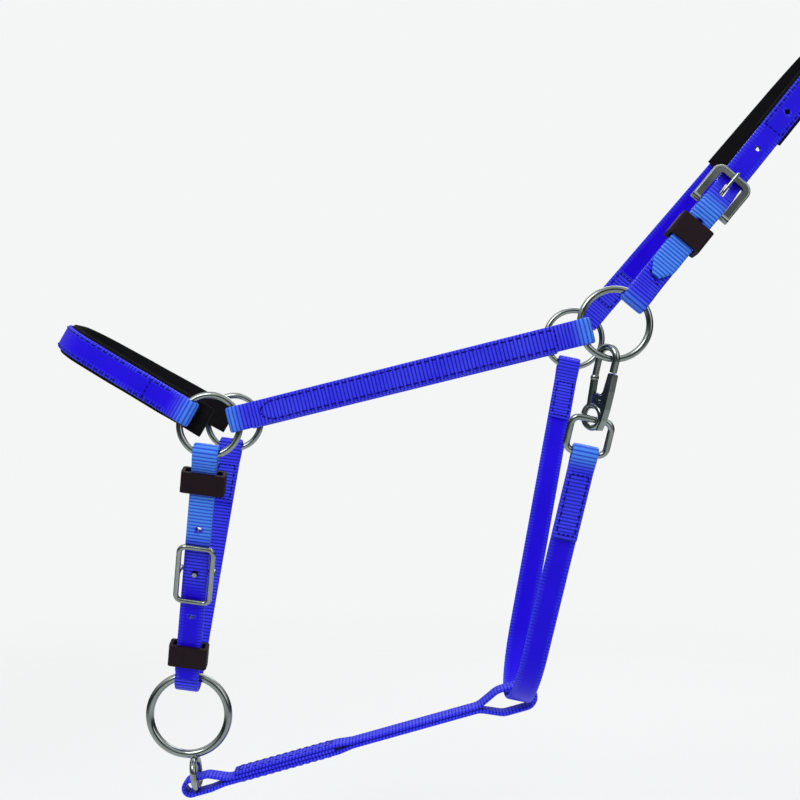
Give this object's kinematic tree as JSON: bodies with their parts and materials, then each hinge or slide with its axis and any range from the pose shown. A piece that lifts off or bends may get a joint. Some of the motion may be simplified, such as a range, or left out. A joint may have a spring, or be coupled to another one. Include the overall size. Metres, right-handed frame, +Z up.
{
  "type": "head halter",
  "caption": "Webbing head halter with padded noseband and crown, cheek, chin, throat and jaw straps, round rings, buckles, keepers and a throat snap.",
  "frame": {"origin": "seat of the crown on the poll: the inner face of the crown pad at the top of its arch, on the halter's centre plane", "axes": "+X back from the nose towards the neck, +Y to the far (right) side, +Z up as worn with the head in profile; the near side, -Y, carries the buckles and the snap"},
  "size_m": [0.5289, 0.2026, 0.5154],
  "materials": {
    "royal_webbing": "ribbed nylon webbing with a satin coating, royal blue",
    "black_pad": "black felted pad",
    "black_keeper": "black coated leather",
    "stainless": "polished stainless steel"
  },
  "bodies": {
    "crown": {"crown_strap": "royal_webbing", "crown_pad": "black_pad", "crown_tab": "royal_webbing", "crown_buckle_frame": "stainless"},
    "buckle_tongue": {"crown_buckle_tongue": "stainless"},
    "crown_keeper_band": {"crown_keeper": "black_keeper"},
    "near_cheek_ring_wire": {"near_cheek_ring": "stainless"},
    "far_cheek_ring_wire": {"far_cheek_ring": "stainless"},
    "cheeks": {"near_cheek_strap": "royal_webbing", "far_cheek_strap": "royal_webbing"},
    "near_nose_ring_wire": {"near_nose_ring": "stainless"},
    "far_nose_ring_wire": {"far_nose_ring": "stainless"},
    "noseband": {"noseband_webbing": "royal_webbing", "noseband_pad": "black_pad"},
    "chin": {"chin_strap": "royal_webbing", "conway_buckle": "stainless"},
    "chin_keeper_top": {"chin_keeper_upper": "black_keeper"},
    "chin_keeper_bottom": {"chin_keeper_lower": "black_keeper"},
    "lead": {"lead_ring": "stainless"},
    "jaw": {"jaw_strap": "royal_webbing"},
    "throat": {"throat_strap": "royal_webbing", "throat_loop": "stainless", "snap_body": "stainless", "snap_gate_pin": "stainless", "snap_spring": "stainless"},
    "gate": {"snap_gate": "stainless"}
  },
  "joints": [
    {"name": "cheek_swing", "type": "hinge", "parent": "crown", "child": "cheeks", "pos_m": [-0.16391, 0, -0.19534], "axis": [0, 1, 0], "range_deg": [-20, 40]},
    {"name": "near_cheek_ring_spin", "type": "hinge", "parent": "crown", "child": "near_cheek_ring_wire", "pos_m": [-0.16391, -0.095, -0.19534], "axis": [0, 1, 0], "continuous": true},
    {"name": "far_cheek_ring_spin", "type": "hinge", "parent": "crown", "child": "far_cheek_ring_wire", "pos_m": [-0.16391, 0.095, -0.19534], "axis": [0, 1, 0], "continuous": true},
    {"name": "buckle_tongue_lift", "type": "hinge", "parent": "crown", "child": "buckle_tongue", "pos_m": [-0.10332, -0.0797, -0.12313], "axis": [0.766, 0, -0.6428], "range_deg": [0, 2.5]},
    {"name": "crown_keeper_slide", "type": "slide", "parent": "crown", "child": "crown_keeper_band", "axis": [0.6298, 0.2, 0.7506], "range_m": [-0.012, 0]},
    {"name": "noseband_tilt", "type": "hinge", "parent": "cheeks", "child": "noseband", "pos_m": [-0.41183, 0, -0.2567], "axis": [0, 1, 0], "range_deg": [-20, 20]},
    {"name": "near_nose_ring_spin", "type": "hinge", "parent": "cheeks", "child": "near_nose_ring_wire", "pos_m": [-0.41183, -0.062, -0.2567], "axis": [0, 1, 0], "continuous": true},
    {"name": "far_nose_ring_spin", "type": "hinge", "parent": "cheeks", "child": "far_nose_ring_wire", "pos_m": [-0.41183, 0.062, -0.2567], "axis": [0, 1, 0], "continuous": true},
    {"name": "chin_swing", "type": "hinge", "parent": "cheeks", "child": "chin", "pos_m": [-0.41183, 0, -0.2567], "axis": [0, 1, 0], "range_deg": [-5, 5]},
    {"name": "chin_keeper_upper_slide", "type": "slide", "parent": "chin", "child": "chin_keeper_top", "axis": [-0.1256, 0.3122, -0.9417], "range_m": [0, 0.025]},
    {"name": "chin_keeper_lower_slide", "type": "slide", "parent": "chin", "child": "chin_keeper_bottom", "axis": [-0.1256, 0.3122, -0.9417], "range_m": [-0.025, 0]},
    {"name": "lead_ring_swing", "type": "hinge", "parent": "chin", "child": "lead", "pos_m": [-0.43441, 0, -0.4259], "axis": [0, 1, 0], "range_deg": [-5, 5]},
    {"name": "jaw_strap_swing", "type": "hinge", "parent": "lead", "child": "jaw", "pos_m": [-0.42856, 0, -0.49979], "axis": [0, 1, 0], "range_deg": [-0.35, 0.35]},
    {"name": "throat_swing", "type": "hinge", "parent": "cheeks", "child": "throat", "pos_m": [-0.16391, 0, -0.19534], "axis": [0, 1, 0], "range_deg": [-3.6, 3.6]},
    {"name": "snap_gate_hinge", "type": "hinge", "parent": "throat", "child": "gate", "pos_m": [-0.17168, -0.09095, -0.24195], "axis": [-0.7793, -0.6265, 0.0158], "range_deg": [0, 20], "stiffness_Nm_per_rad": 0.05, "springref_deg": -20.05, "deforming": ["snap_spring"]}
  ],
  "couplings": [
    {"joint": "lead_ring_swing", "follows": "chin_swing", "ratio": -1},
    {"joint": "throat_swing", "follows": "chin_swing", "ratio": 0.7055},
    {"joint": "jaw_strap_swing", "follows": "chin_swing", "ratio": -0.062}
  ]
}
